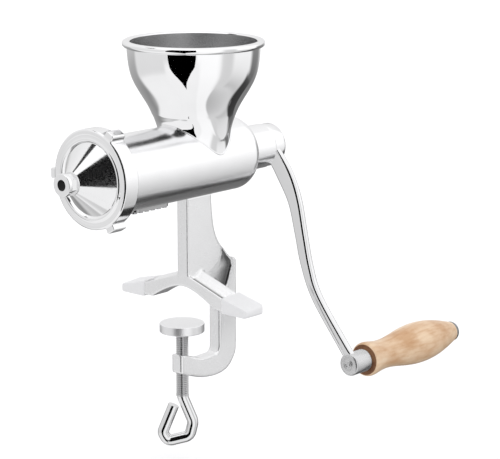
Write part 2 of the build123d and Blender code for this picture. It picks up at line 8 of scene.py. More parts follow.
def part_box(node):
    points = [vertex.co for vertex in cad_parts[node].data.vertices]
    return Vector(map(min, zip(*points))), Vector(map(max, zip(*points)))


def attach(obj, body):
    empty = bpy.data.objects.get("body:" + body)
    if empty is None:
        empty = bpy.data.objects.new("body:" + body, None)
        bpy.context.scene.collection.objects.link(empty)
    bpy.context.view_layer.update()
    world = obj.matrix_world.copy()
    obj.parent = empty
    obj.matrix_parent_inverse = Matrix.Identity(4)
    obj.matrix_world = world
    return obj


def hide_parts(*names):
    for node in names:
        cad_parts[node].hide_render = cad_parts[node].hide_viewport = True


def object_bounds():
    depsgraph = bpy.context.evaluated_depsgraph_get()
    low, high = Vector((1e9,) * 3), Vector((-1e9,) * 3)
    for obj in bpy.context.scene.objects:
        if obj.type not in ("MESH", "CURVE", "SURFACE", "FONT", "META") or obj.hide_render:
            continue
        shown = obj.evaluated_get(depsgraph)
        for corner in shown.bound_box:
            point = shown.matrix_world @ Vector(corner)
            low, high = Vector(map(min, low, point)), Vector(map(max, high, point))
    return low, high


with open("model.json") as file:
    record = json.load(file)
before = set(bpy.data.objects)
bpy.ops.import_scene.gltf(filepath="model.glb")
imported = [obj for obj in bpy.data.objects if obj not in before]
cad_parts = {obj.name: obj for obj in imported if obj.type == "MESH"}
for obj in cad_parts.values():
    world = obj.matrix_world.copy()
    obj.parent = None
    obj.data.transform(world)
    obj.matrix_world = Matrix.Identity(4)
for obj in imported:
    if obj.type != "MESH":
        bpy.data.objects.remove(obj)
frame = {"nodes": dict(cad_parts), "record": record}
cad_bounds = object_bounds()
MM = 0.001

# ---- places taken from the CAD frame, in metres ----
barrel_low, barrel_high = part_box("barrel")
hopper_low, hopper_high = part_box("hopper")
pad_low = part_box("clamp_pad")[0]
ring_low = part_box("ring_nut")[0]
grip_low, grip_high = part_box("grip")
axis_z = (barrel_low.z + barrel_high.z) / 2
hopper_y = (hopper_low.y + hopper_high.y) / 2
barrel_r = 29 * MM        # outside of the barrel's tube
grip_x = (grip_low.x + grip_high.x) / 2
grip_z = (grip_low.z + grip_high.z) / 2

# ---- camera: a long lens, in front of the outlet and to the crank's side ----
VIEW_AZIMUTH = math.radians(41.6)
VIEW_ELEVATION = math.radians(12.5)
VIEW_DISTANCE = 1.603
LENS_MM = 150
SENSOR_MM = 36
CLIP_NEAR = 0.05
CLIP_FAR = 50
AIM_RIGHT = 0.0429        # what the camera looks at, from the barrel's axis under the hopper
AIM_UP = -0.0543


def direction(azimuth, elevation):
    """Unit vector; azimuth 0 looks along -Y and 90 degrees along +X."""
    return Vector((
        math.sin(azimuth) * math.cos(elevation),
        -math.cos(azimuth) * math.cos(elevation),
        math.sin(elevation),
    ))


back = direction(VIEW_AZIMUTH, VIEW_ELEVATION)
right = Vector((math.cos(VIEW_AZIMUTH), math.sin(VIEW_AZIMUTH), 0))
up = back.cross(right)
middle = Vector((0, hopper_y, axis_z))
aim = middle + AIM_RIGHT * right + AIM_UP * up


def link(obj):
    bpy.context.scene.collection.objects.link(obj)
    return obj


def add_camera():
    data = bpy.data.cameras.new("camera")
    data.lens = LENS_MM
    data.sensor_width = SENSOR_MM
    data.clip_start = CLIP_NEAR
    data.clip_end = CLIP_FAR
    camera = link(bpy.data.objects.new("camera", data))
    turn = Matrix((right, up, back)).transposed().to_4x4()
    camera.matrix_world = Matrix.Translation(aim + back * VIEW_DISTANCE) @ turn
    bpy.context.scene.camera = camera


# ---- node helpers ----
def new_material(name):
    material = bpy.data.materials.new(name)
    material.use_nodes = True
    return material, material.node_tree, material.node_tree.nodes["Principled BSDF"]


def add_node(tree, kind, **sockets):
    node = tree.nodes.new(kind)
    for key, value in sockets.items():
        node.inputs[key].default_value = value
    return node


def noise(tree, scale, detail=3.0, stretch=(1, 1, 1)):
    """Object-space noise, drawn out along the axes where stretch is small."""
    coords = tree.nodes.new("ShaderNodeTexCoord")
    mapping = tree.nodes.new("ShaderNodeMapping")
    mapping.inputs["Scale"].default_value = stretch
    texture = add_node(tree, "ShaderNodeTexNoise", Scale=scale, Detail=detail)
    tree.links.new(coords.outputs["Object"], mapping.inputs["Vector"])
    tree.links.new(mapping.outputs["Vector"], texture.inputs["Vector"])
    return texture


def ramp(tree, source, low, high, start=0.3, end=0.7):
    """Colour ramp driven by source: low up to start, high from end on."""
    node = tree.nodes.new("ShaderNodeValToRGB")
    node.color_ramp.elements[0].position = start
    node.color_ramp.elements[0].color = low
    node.color_ramp.elements[1].position = end
    node.color_ramp.elements[1].color = high
    tree.links.new(source, node.inputs["Fac"])
    return node


def plain(value):
    """Neutral grey."""
    return (value, value, value, 1)


def grey(value):
    """Grey with a very slight blue cast, as steel has."""
    return (value, value, value * 1.01, 1)


def add_bump(tree, shader, source, strength, depth):
    bump = add_node(tree, "ShaderNodeBump", Strength=strength, Distance=depth)
    tree.links.new(source, bump.inputs["Height"])
    tree.links.new(bump.outputs["Normal"], shader.inputs["Normal"])


CLOUD_SCALE = 45
GRAIN_SCALE = 900


def steel(name, tone, roughness, spread, grain=(1, 1, 1), bump=0.0, metallic=1.0):
    """Stainless steel: tone and roughness drift a little, and grain draws out the polishing lines."""
    material, tree, shader = new_material(name)
    shader.inputs["Metallic"].default_value = metallic
    cloud = noise(tree, CLOUD_SCALE)
    tint = ramp(tree, cloud.outputs["Fac"], grey(tone - 0.02), grey(tone + 0.01))
    tree.links.new(tint.outputs["Color"], shader.inputs["Base Color"])
    lines = noise(tree, GRAIN_SCALE, detail=4, stretch=grain)
    rough = ramp(tree, lines.outputs["Fac"], grey(roughness - spread), grey(roughness + spread))
    tree.links.new(rough.outputs["Color"], shader.inputs["Roughness"])
    if bump:
        add_bump(tree, shader, lines.outputs["Fac"], strength=bump, depth=0.02 * MM)
    return material


# ---- studio: a pale room, with a dome and cards that only mirror reflections see ----
STUDIO_RADIUS = 3.0
CARD_RADIUS = STUDIO_RADIUS * 0.95
DOME_STEP = 2             # degrees between the dome's points
CARD_COLUMNS = 24
CARD_STEP = 2
# The dome's brightness as (elevation, tone), from straight down to straight up.
DOME_TONES = [(-90, 0.25), (-65, 0.50), (-45, 0.70), (-10, 0.78), (20, 0.86), (45, 0.95), (60, 1.15),
              (90, 1.25)]
# Soft patches of the dome, in degrees: azimuths, elevations, tone at the bottom and at the top, softness.
PATCHES = [
    ((48, 94), (-80, 60), (0.95, 1.15), 8),
    ((94, 119), (-48, 25), (0.66, 0.70), 22),
    ((117, 162), (-44, 20), (0.50, 1.30), 10),
    ((119, 175), (14, 60), (1.15, 1.15), 12),
    ((159, 188), (-75, -20), (0.0, 0.06), 8),
    ((164, 196), (-24, 6), (0.10, 0.34), 12),
    ((187, 228), (-70, -8), (0.05, 0.26), 10),
    ((-142, -78), (-42, -4), (0.22, 0.45), 18),
    ((-76, -4), (-72, -20), (0.92, 0.90), 12),
    ((-76, -4), (-22, 40), (0.74, 0.86), 10),
    ((-9, 54), (-80, -15), (0.90, 0.94), 8),
]
# Cards are rows of (elevation, left azimuth, right azimuth), from the top.
FRONT_CARD = [(53, -2, 48), (-12, -2, 47), (-18, 0, 45), (-24, 6, 38), (-30, 12, 34), (-40, 18, 29),
              (-57, 24, 24.2)]
STRIP_CARD = [(57, -76, -52), (47, -76, -52)]
# The world's light below and above, and where it blends: shares of the way from nadir to zenith.
WORLD_BELOW = 0.74
WORLD_ABOVE = 1.16
WORLD_BLEND = (0.30, 0.50)
FLOOR_HALF = 12           # metres
FLOOR_GAP = 18.0          # leaves room for the clamp screw at its lowest


def add_world():
    world = bpy.data.worlds.new("studio")
    bpy.context.scene.world = world
    world.use_nodes = True
    tree = world.node_tree
    background = tree.nodes["Background"]
    background.inputs["Strength"].default_value = 1.0
    coords = tree.nodes.new("ShaderNodeTexCoord")
    split = tree.nodes.new("ShaderNodeSeparateXYZ")
    height = add_node(tree, "ShaderNodeMapRange")
    height.inputs["From Min"].default_value = -1.0
    height.inputs["From Max"].default_value = 1.0
    tree.links.new(coords.outputs["Generated"], split.inputs["Vector"])
    tree.links.new(split.outputs["Z"], height.inputs["Value"])
    tint = ramp(tree, height.outputs["Result"], grey(WORLD_BELOW), grey(WORLD_ABOVE), *WORLD_BLEND)
    tree.links.new(tint.outputs["Color"], background.inputs["Color"])


def smooth_step(value, start, end):
    """0 up to start, 1 from end on, and an eased rise between them."""
    share = min(1, max(0, (value - start) / (end - start)))
    return share * share * (3 - 2 * share)


def dome_tone(azimuth, elevation):
    """Brightness of the dome in a direction, in degrees."""
    for (low, tone), (high, high_tone) in zip(DOME_TONES, DOME_TONES[1:]):
        if low <= elevation <= high:
            result = tone + (high_tone - tone) * (elevation - low) / (high - low)
    for (start, end), (bottom, top), (low_tone, high_tone), soft in PATCHES:
        centre = (start + end) / 2
        turn = (azimuth - centre + 180) % 360 - 180
        inside = min((end - start) / 2 - abs(turn), elevation - bottom, top - elevation)
        climb = min(1, max(0, (elevation - bottom) / (top - bottom)))
        tone = low_tone + (high_tone - low_tone) * climb
        result += (tone - result) * smooth_step(inside, -soft / 2, soft / 2)
    return result


def only_in_mirrors(obj):
    """Leaves a studio surface to glossy reflections alone."""
    obj.visible_camera = False
    obj.visible_diffuse = False
    obj.visible_shadow = False
    obj.visible_transmission = False


def glow(name):
    """Emission material and its shader."""
    material = bpy.data.materials.new(name)
    material.use_nodes = True
    material.cycles.emission_sampling = "NONE"
    tree = material.node_tree
    tree.nodes.clear()
    emission = add_node(tree, "ShaderNodeEmission", Strength=1.0)
    output = tree.nodes.new("ShaderNodeOutputMaterial")
    tree.links.new(emission.outputs["Emission"], output.inputs["Surface"])
    return material, tree, emission


def add_dome():
    """Sphere round the studio that carries dome_tone as a vertex colour."""
    points, tones = [], []
    for elevation in range(-90, 91, DOME_STEP):
        for azimuth in range(0, 360, DOME_STEP):
            away = direction(math.radians(azimuth), math.radians(elevation))
            points.append(middle + away * STUDIO_RADIUS)
            tones.append(dome_tone(azimuth, elevation))
    mesh = bpy.data.meshes.new("studio_dome")
    mesh.from_pydata(points, [], grid_faces(180 // DOME_STEP + 1, 360 // DOME_STEP))
    colours = mesh.color_attributes.new("tone", "FLOAT_COLOR", "POINT")
    for colour, tone in zip(colours.data, tones):
        colour.color = plain(tone)
    material, tree, emission = glow("studio_dome")
    attribute = tree.nodes.new("ShaderNodeVertexColor")
    attribute.layer_name = "tone"
    tree.links.new(attribute.outputs["Color"], emission.inputs["Color"])
    mesh.materials.append(material)
    only_in_mirrors(link(bpy.data.objects.new("studio_dome", mesh)))


def card(name, rows, tone):
    """Crisp patch in front of the dome."""
    fine = []
    for (top, top_left, top_right), (low, low_left, low_right) in zip(rows, rows[1:]):
        steps = max(2, round((top - low) / CARD_STEP))
        for step in range(steps):
            down = step / steps
            fine.append((
                top + (low - top) * down,
                top_left + (low_left - top_left) * down,
                top_right + (low_right - top_right) * down,
            ))
    fine.append(rows[-1])
    points = []
    for elevation, start, end in fine:
        for column in range(CARD_COLUMNS + 1):
            azimuth = math.radians(start + (end - start) * column / CARD_COLUMNS)
            points.append(middle + direction(azimuth, math.radians(elevation)) * CARD_RADIUS)
    mesh = bpy.data.meshes.new(name)
    mesh.from_pydata(points, [], grid_faces(len(fine), CARD_COLUMNS + 1, ring=False))
    material, _, emission = glow(name)
    emission.inputs["Color"].default_value = plain(tone)
    mesh.materials.append(material)
    only_in_mirrors(link(bpy.data.objects.new(name, mesh)))


def add_floor():
    floor_mesh = bpy.data.meshes.new("floor")
    floor_z = cad_bounds[0].z - FLOOR_GAP * MM
    corners = [(x * FLOOR_HALF, y * FLOOR_HALF, floor_z) for x, y in ((-1, -1), (1, -1), (1, 1), (-1, 1))]
    floor_mesh.from_pydata(corners, [], [(0, 1, 2, 3)])
    floor = link(bpy.data.objects.new("floor", floor_mesh))
    material, tree, shader = new_material("floor")
    cloud = noise(tree, 3)
    tint = ramp(tree, cloud.outputs["Fac"], plain(0.94), plain(0.96))
    tree.links.new(tint.outputs["Color"], shader.inputs["Base Color"])
    shader.inputs["Roughness"].default_value = 0.9
    floor_mesh.materials.append(material)
    floor.visible_glossy = False
    floor.visible_diffuse = False


def add_studio():
    add_world()
    add_dome()
    card("card_front", FRONT_CARD, 0.0)
    card("card_strip", STRIP_CARD, 0.02)
    add_floor()


# ---- mesh helpers ----
def grid_faces(rows, columns, ring=True, closed=False):
    """Quads between rows of points. ring joins each row's ends, closed joins the last row to the first."""
    faces = []
    for row in range(rows if closed else rows - 1):
        low = row * columns
        high = (row + 1) % rows * columns
        for column in range(columns if ring else columns - 1):
            after = (column + 1) % columns
            faces.append((low + column, low + after, high + after, high + column))
    return faces


def mesh_piece(name, points, faces, materials, sharp=35):
    """Smooth-shaded object, with sharp edges where faces meet at more than sharp degrees."""
    mesh = bpy.data.meshes.new(name)
    mesh.from_pydata(points, [], faces)
    for material in materials:
        mesh.materials.append(material)
    mesh.shade_smooth()
    mesh.set_sharp_from_angle(angle=math.radians(sharp))
    return link(bpy.data.objects.new(name, mesh))


def hand_in(obj, body, slot, *nodes):
    """Puts a built piece on its body in place of its CAD nodes. slot is not used."""
    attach(obj, body)
    if nodes:
        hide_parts(*nodes)


CURVE_STEPS = 8


def flowing(points, steps=CURVE_STEPS):
    """Smooth line from the first point to the last, rounding the ones between (cubic B-spline)."""
    line = []
    run = [points[0]] * 2 + list(points) + [points[-1]] * 2
    for corners in zip(run, run[1:], run[2:], run[3:]):
        for step in range(steps):
            t = step / steps
            pulls = (
                (1 - t) ** 3 / 6,
                (3 * t ** 3 - 6 * t * t + 4) / 6,
                (3 * (t + t * t - t ** 3) + 1) / 6,
                t ** 3 / 6,
            )
            line.append(tuple(
                sum(pull * value for pull, value in zip(pulls, values))
                for values in zip(*corners)
            ))
    line.append(tuple(points[-1]))
    return line


def through(points):
    """Smooth line that passes through every point (Catmull-Rom)."""
    line = []
    run = [points[0]] + list(points) + [points[-1]]
    for corners in zip(run, run[1:], run[2:], run[3:]):
        for step in range(CURVE_STEPS):
            t = step / CURVE_STEPS
            line.append(tuple(
                0.5 * (
                    2 * start
                    + (end - before) * t
                    + (2 * before - 5 * start + 4 * end - after) * t * t
                    + (3 * start - before - 3 * end + after) * t ** 3
                )
                for before, start, end, after in zip(*corners)
            ))
    line.append(tuple(points[-1]))
    return line


def lathe(name, outline, place, materials, segments, closed=False, sharp=35, slots=None):
    """Turned piece. place(radius, height, angle) gives the point; slots gives a material index per row."""
    points = []
    for radius, height in outline:
        for segment in range(segments):
            angle = 2 * math.pi * segment / segments
            points.append(place(radius, height, angle))
    faces = grid_faces(len(outline), segments, closed=closed)
    obj = mesh_piece(name, points, faces, materials, sharp)
    if slots:
        for polygon in obj.data.polygons:
            polygon.material_index = slots[polygon.index // segments]
    return obj


def about_z(centre):
    """Turns an outline about a vertical axis through centre, (x, y)."""
    return lambda r, h, a: (centre[0] + r * math.cos(a), centre[1] + r * math.sin(a), h)


def about_y(centre):
    """Turns an outline about an axis along Y through centre, (x, z)."""
    return lambda r, h, a: (centre[0] + r * math.sin(a), h, centre[1] + r * math.cos(a))


WELD_DIST = 0.001 * MM    # points nearer to each other than this are one


def voxel_copy(node, name, voxel, material, hull=False):
    """CAD node as a fine, even mesh of its own. hull fills it out to its convex hull."""
    mesh = frame["nodes"][node].data.copy()
    mesh.name = name
    obj = link(bpy.data.objects.new(name, mesh))
    form = bmesh.new()
    form.from_mesh(mesh)
    bmesh.ops.remove_doubles(form, verts=form.verts, dist=WELD_DIST)
    if hull:
        result = bmesh.ops.convex_hull(form, input=form.verts)
        spare = [item for item in result["geom_interior"] + result["geom_unused"]
                 if isinstance(item, bmesh.types.BMVert)]
        bmesh.ops.delete(form, geom=spare, context="VERTS")
    form.to_mesh(mesh)
    form.free()
    remesh = obj.modifiers.new("remesh", "REMESH")
    remesh.mode = "VOXEL"
    remesh.voxel_size = voxel
    apply_modifiers(obj)
    obj.data.materials.clear()
    obj.data.materials.append(material)
    obj.data.shade_smooth()
    return obj


def evaluated_mesh(obj):
    """The object's shape with its modifiers or its bevel, as a mesh of its own."""
    bpy.context.view_layer.update()
    return bpy.data.meshes.new_from_object(obj.evaluated_get(bpy.context.evaluated_depsgraph_get()))


def apply_modifiers(obj):
    final = evaluated_mesh(obj)
    obj.modifiers.clear()
    obj.vertex_groups.clear()
    obj.data = final


def relax(obj, rounds, moves=None):
    """Rounds edges and inner corners off. moves(place) says which points may move."""
    smooth = obj.modifiers.new("smooth", "SMOOTH")
    smooth.factor = 0.5
    smooth.iterations = rounds
    if moves:
        group = obj.vertex_groups.new(name="moves")
        group.add([v.index for v in obj.data.vertices if moves(v.co / MM)], 1.0, "REPLACE")
        smooth.vertex_group = "moves"
    apply_modifiers(obj)


# ---- materials ----
def multiply(tree, first, second, factor, target):
    """Feeds target with first times second, as far as factor says."""
    mix = tree.nodes.new("ShaderNodeMix")
    mix.data_type = "RGBA"
    mix.blend_type = "MULTIPLY"
    mix.inputs["Factor"].default_value = factor
    tree.links.new(first, mix.inputs["A"])
    tree.links.new(second, mix.inputs["B"])
    tree.links.new(mix.outputs["Result"], target)


def paint_shade_by(material, layer):
    """Multiplies the base colour by a mesh's colour layer, which holds painted shade for the cast recesses.
    """
    tree = material.node_tree
    base = tree.nodes["Principled BSDF"].inputs["Base Color"]
    attribute = tree.nodes.new("ShaderNodeVertexColor")
    attribute.layer_name = layer
    multiply(tree, base.links[0].from_socket, attribute.outputs["Color"], 1.0, base)


polished = steel("polished_steel", 0.93, 0.10, 0.03)
brushed = steel("brushed_steel", 0.93, 0.22, 0.03, grain=(1, 0.05, 1), bump=0.05)
mirror = steel("mirror_steel", 0.95, 0.035, 0.015)
satin = steel("satin_steel", 0.86, 0.34, 0.03, metallic=0.9)
cast_steel = steel("cast_steel", 0.88, 0.25, 0.03, metallic=0.9)
# painted shade: the stand's base colour darkens in its scoops and in the arms' dishes
paint_shade_by(cast_steel, "painted_shade")
bar_steel = steel("bar_steel", 0.82, 0.08, 0.02)
boss_steel = steel("boss_steel", 0.63, 0.28, 0.03, metallic=0.9)
cap_steel = steel("cap_steel", 0.24, 0.16, 0.04)
spun = steel("spun_inside", 0.50, 0.30, 0.06, grain=(1, 1, 12), bump=0.3)
dark_steel = steel("screw_steel", 0.60, 0.12, 0.04)
# painted shade: darker steel for the juice screen's strip, which sits in the barrel's shade
strip_painted_shade = steel("strip_painted_shade", 0.42, 0.20, 0.04)
# painted shade: near-black steel for the inside of the nozzle's bore
bore_shade = steel("painted_bore_shade", 0.03, 0.60, 0.10)


def make_wood(name, light, dark, streak, roughness):
    """Turned wood with its grain along Y."""
    material, tree, shader = new_material(name)
    grain = noise(tree, scale=420, detail=5, stretch=(1, 0.10, 1))
    patches = noise(tree, scale=75, detail=4, stretch=(1, 0.5, 1))
    base = ramp(tree, patches.outputs["Fac"], dark, light, start=0.36, end=0.60)
    fine = ramp(tree, grain.outputs["Fac"], streak, plain(1), start=0.3, end=0.55)
    multiply(tree, base.outputs["Color"], fine.outputs["Color"], 0.7, shader.inputs["Base Color"])
    shader.inputs["Roughness"].default_value = roughness
    add_bump(tree, shader, grain.outputs["Fac"], strength=0.15, depth=0.04 * MM)
    return material


def make_soft_white(name, tone, roughness):
    """Pale rubber or plastic."""
    material, tree, shader = new_material(name)
    cloud = noise(tree, scale=400, detail=4)
    tint = ramp(tree, cloud.outputs["Fac"], grey(tone - 0.02), grey(tone))
    tree.links.new(tint.outputs["Color"], shader.inputs["Base Color"])
    shader.inputs["Roughness"].default_value = roughness
    add_bump(tree, shader, cloud.outputs["Fac"], strength=0.1, depth=0.03 * MM)
    return material


wood = make_wood("beech", (0.80, 0.60, 0.41, 1), (0.61, 0.37, 0.20, 1), (0.86, 0.74, 0.62, 1), 0.30)
end_grain = make_wood("end_grain", (0.27, 0.125, 0.05, 1), (0.15, 0.055, 0.02, 1), (0.7, 0.5, 0.4, 1), 0.6)
cover_white = make_soft_white("cover_white", 0.83, 0.5)
seal_white = make_soft_white("seal_white", 0.80, 0.4)
bronze = steel("bronze", 0.5, 0.25, 0.05)
slot_materials = {
    "polished_steel": polished,
    "satin_steel": satin,
    "wood": wood,
    "white_cover": cover_white,
    "white_seal": seal_white,
    "bronze": bronze,
}
for subpart in frame["record"]["subparts"]:
    data = frame["nodes"][subpart["node"]].data
    data.materials.clear()
    data.materials.append(slot_materials[subpart["material_slot"]])


# ---- hopper: spun bowl with a rolled rim, standing on the barrel in a saddle ----
# The bowl's outline in three parts, as (radius, height above the barrel's axis).
RIM_LINE = [(51.0, 87.0), (51.9, 87.0), (53.6, 87.6), (54.7, 89.2), (54.5, 91.0), (53.2, 92.2),
            (51.4, 92.5), (49.6, 92.3), (48.6, 91.2)]
BOWL_OUTSIDE = [(28.0, 8), (28.3, 18), (30.2, 28), (32.0, 35.5), (35.2, 42.3), (40, 50), (45.5, 59),
                (49.2, 68), (50.7, 80), (51.0, 87.0)]
BOWL_INSIDE = [(48.6, 91.2), (48.3, 79), (47.0, 68.5), (43.6, 60.2), (38.3, 51.4), (33.3, 43.4), (30.0, 36),
               (28.1, 28), (26.2, 18), (26.0, 8)]
SADDLE_TOP = 36.0
NECK_WELD_R = 28.15
NECK_WELD_THICK = 0.55
NECK_WELD_STEPS = 160


def saddle(x):
    """Height of the barrel's surface above its axis, x from its middle plane."""
    return math.sqrt(max(barrel_r ** 2 - x ** 2, 0))


def on_saddle(centre_y):
    """Places a row of the bowl: below SADDLE_TOP, rows bunch up onto the barrel's surface."""
    def place(radius, height, angle):
        x = radius * math.cos(angle) * MM
        lift = height * MM
        if height < SADDLE_TOP:
            share = (SADDLE_TOP - height) / (SADDLE_TOP - BOWL_OUTSIDE[0][1])
            lift = SADDLE_TOP * MM + (saddle(x) - SADDLE_TOP * MM) * share
        return (x, centre_y + radius * math.sin(angle) * MM, axis_z + lift)
    return place


def make_hopper():
    outside = flowing(BOWL_OUTSIDE)
    rim = flowing(RIM_LINE, 4)
    inside = flowing(BOWL_INSIDE)
    outline = outside + rim[1:] + inside[1:]
    first_inside = len(outside) + len(rim) - 2
    slots = [0 if row < first_inside else 1 for row in range(len(outline))]
    bowl = lathe("hopper_bowl", outline, on_saddle(hopper_y), [mirror, spun], 192, sharp=60, slots=slots)
    hand_in(bowl, "stand", "polished_steel", "hopper")


def ring_tube(name, line, radius, material, closed=True, sides=16):
    """Tube along the points, as a mesh."""
    curve = bpy.data.curves.new(name, "CURVE")
    curve.dimensions = "3D"
    spline = curve.splines.new("POLY")
    spline.points.add(len(line) - 1)
    for point, place in zip(spline.points, line):
        point.co = (*place, 1)
    spline.use_cyclic_u = closed
    curve.bevel_depth = radius
    curve.bevel_resolution = sides // 4
    curve.use_fill_caps = not closed
    shape = link(bpy.data.objects.new(name, curve))
    mesh = evaluated_mesh(shape)
    bpy.data.objects.remove(shape)
    mesh.name = name
    mesh.materials.clear()
    mesh.materials.append(material)
    mesh.shade_smooth()
    mesh.set_sharp_from_angle(angle=math.radians(50))
    return link(bpy.data.objects.new(name, mesh))


def make_neck_weld():
    radius = NECK_WELD_R * MM
    line = []
    for step in range(NECK_WELD_STEPS):
        angle = 2 * math.pi * step / NECK_WELD_STEPS
        x = radius * math.cos(angle)
        line.append((x, hopper_y + radius * math.sin(angle), axis_z + saddle(x)))
    weld = ring_tube("neck_weld", line, NECK_WELD_THICK * MM, polished)
    hand_in(weld, "stand", "polished_steel")


# ---- clamp screw: real helical thread, and the end bent into a loop ----
SCREW_R = 5.0
THREAD_PITCH = 1.5
THREAD_DEPTH = 0.95
THREAD_BOTTOM = -73.0
THREAD_SIDES = 80
ROWS_PER_TURN = 10
GROOVE_SLOPE = 1.25
GROOVE_START = 0.12
PAD_GAP = 0.7             # the thread ends this far below the pad
# The journal that holds the pad, as (radius, height above the thread).
TIP_LINE = [(0, 0), (4.25, 0), (4.0, 0.5), (3.0, 0.6), (3.0, 3.1), (3.9, 3.2), (3.9, 4.4), (0, 4.5)]
ROD_R = 4.34
LOOP_TURN = math.radians(41.6)
# The loop's rod in its own upright plane, as (distance from the screw's axis, z), and its bends' radii.
LOOP_LINE = [(0, -71), (0, -74), (8.3, -94.5), (5.5, -106.2), (-11.5, -110.5), (-15.9, -103.5),
             (-6.9, -81.0)]
LOOP_BENDS = [14, 9, 6, 4.6, 5.6]
BEND_STEP = 0.25


def bent(places, bends):
    """Line through the places, with an arc of each given radius at each inner corner."""
    points = [Vector(place) for place in places]
    line = [points[0]]
    for before, corner, after, radius in zip(points, points[1:], points[2:], bends):
        arrive = (corner - before).normalized()
        leave = (after - corner).normalized()
        turn = arrive.angle(leave)
        reach = radius * math.tan(turn / 2)
        side = (leave - arrive * arrive.dot(leave)).normalized()
        centre = corner - arrive * reach + side * radius
        count = max(2, int(radius * turn / BEND_STEP))
        for index in range(count + 1):
            angle = turn * index / count
            line.append(centre - side * radius * math.cos(angle) + arrive * radius * math.sin(angle))
    line.append(points[-1])
    return line


def make_thread(top):
    """Threaded rod up to top. The groove fades out over the first and the last turn."""
    length = top - THREAD_BOTTOM
    rows = int(length / THREAD_PITCH * ROWS_PER_TURN)
    points = []
    for row in range(rows + 1):
        height = THREAD_BOTTOM + length * row / rows
        fade = min(1, row / ROWS_PER_TURN, (rows - row) / ROWS_PER_TURN)
        for side in range(THREAD_SIDES):
            angle = 2 * math.pi * side / THREAD_SIDES
            phase = (height / THREAD_PITCH - angle / (2 * math.pi)) % 1
            groove = min(1, max(0, GROOVE_SLOPE * abs(2 * phase - 1) - GROOVE_START))
            radius = (SCREW_R - THREAD_DEPTH * groove * fade) * MM
            points.append((radius * math.cos(angle), radius * math.sin(angle), height * MM))
    faces = grid_faces(rows + 1, THREAD_SIDES)
    faces.append(tuple(range(THREAD_SIDES))[::-1])
    faces.append(tuple(rows * THREAD_SIDES + side for side in range(THREAD_SIDES)))
    return mesh_piece("clamp_thread", points, faces, [dark_steel], sharp=50)


def make_clamp_screw():
    thread_top = pad_low.z / MM - PAD_GAP
    thread = make_thread(thread_top)
    tip_rows = [(radius * MM, (thread_top + height) * MM) for radius, height in TIP_LINE]
    journal = lathe("clamp_screw_tip", tip_rows, about_z((0, 0)), [dark_steel], 48)
    across = Vector((math.cos(LOOP_TURN), math.sin(LOOP_TURN), 0))
    line = []
    for place in bent(LOOP_LINE, LOOP_BENDS):
        line.append(tuple((across * place.x + Vector((0, 0, place.y))) * MM))
    loop = ring_tube("clamp_loop", line, ROD_R * MM, bar_steel, closed=False, sides=48)
    hand_in(thread, "screw", "polished_steel", "clamp_screw")
    hand_in(journal, "screw", "polished_steel")
    hand_in(loop, "screw", "polished_steel")


# ---- stand: one casting with rounded edges and a scoop in each side of the web ----
SCOOP_FRONT = [(39.6, 40.5), (39.4, 34.6), (35.6, 29.4), (30.0, 26.2), (22.0, 23.0), (22.0, 6.0)]
SCOOP_REAR = [(39.6, 40.5), (45.0, 32.8), (50.0, 27.6), (51.2, 23.0), (48.6, 16.8), (45.0, 6.0)]
SCOOP_DEPTH = 2.3
SCOOP_RIM = 1.2
# Only points between these y and z, and this near the web's flat sides, can be in a scoop.
SCOOP_Y = (20, 53)
SCOOP_Z = (5, 42)
FLANK_IN = 2.2
FLANK_OUT = 0.1
WEB_FRONT = (26, 0.35)    # the web lies behind this y, plus this much of z
RECESS_DARK = 0.88        # how much darker than the rest a recess gets at its deepest, as painted shade
RECESS_BLEND = (0.1, 0.95)
DISH_SIDE = 1.0           # the arms' dishes start this far out of the web
DISH_TOP = 28
DISH_LOW = (22, 0.337)    # their lower limit at the middle, and its fall per mm along the arm
DISH_NEAR = (2.2, 3.4)    # the y over which a dish's painted shade comes in, and goes out
DISH_FAR = (5.0, 8.5)
STAND_HALF = 5.8
STAND_VOXEL = 0.5
COVER_VOXEL = 0.6
BARREL_KEEP = 1.0         # points this near the barrel stay where they are
BOSS_R = 6.9
LUG_REACH = 12.0
LUG_TOP = -30
LUG_SQUARENESS = 5
SCREW_HOLE = 5.45         # points nearer the screw's axis than this stay where they are


def to_line(y, z, line):
    """Distance of (y, z) from a polyline."""
    nearest = 1e9
    for (y0, z0), (y1, z1) in zip(line, line[1:]):
        dy, dz = y1 - y0, z1 - z0
        share = min(1, max(0, ((y - y0) * dy + (z - z0) * dz) / (dy * dy + dz * dz)))
        nearest = min(nearest, math.hypot(y - y0 - share * dy, z - z0 - share * dz))
    return nearest


def inside_outline(y, z, outline):
    inside = False
    for (y0, z0), (y1, z1) in zip(outline, outline[1:] + outline[:1]):
        if (z0 > z) != (z1 > z) and y < y0 + (z - z0) * (y1 - y0) / (z1 - z0):
            inside = not inside
    return inside


def carve_scoops(mesh):
    """Deepens each side of the web smoothly from the front of the scoop to the bar's rim.

    The colour layer gets painted shade, how bright each point is: dark in the scoops and in the arms'
    dishes.
    """
    outline = SCOOP_FRONT + SCOOP_REAR[:0:-1]
    painted_shade = mesh.color_attributes.new("painted_shade", "FLOAT_COLOR", "POINT")
    for vertex, tone in zip(mesh.vertices, painted_shade.data):
        side, y, z = vertex.co / MM
        # painted shade in the arms' dishes
        tone.color = plain(1 - RECESS_DARK * dish_share(abs(side), y, z))
        on_flank = STAND_HALF - FLANK_IN < abs(side) < STAND_HALF + FLANK_OUT
        if not (on_flank and SCOOP_Y[0] < y < SCOOP_Y[1] and SCOOP_Z[0] < z < SCOOP_Z[1]):
            continue
        depth = 0
        if inside_outline(y, z, outline):
            front = to_line(y, z, SCOOP_FRONT)
            rear = to_line(y, z, SCOOP_REAR)
            share = front / max(front + rear, 1e-6)
            depth = SCOOP_DEPTH * smooth_step(share, 0, 1) * smooth_step(rear, 0, SCOOP_RIM)
            # painted shade in the scoop, darkest towards its rear rim
            tone.color = plain(1 - RECESS_DARK * smooth_step(share, *RECESS_BLEND))
        elif y - WEB_FRONT[1] * z < WEB_FRONT[0]:
            continue
        vertex.co.x = math.copysign((STAND_HALF - depth) * MM, side)


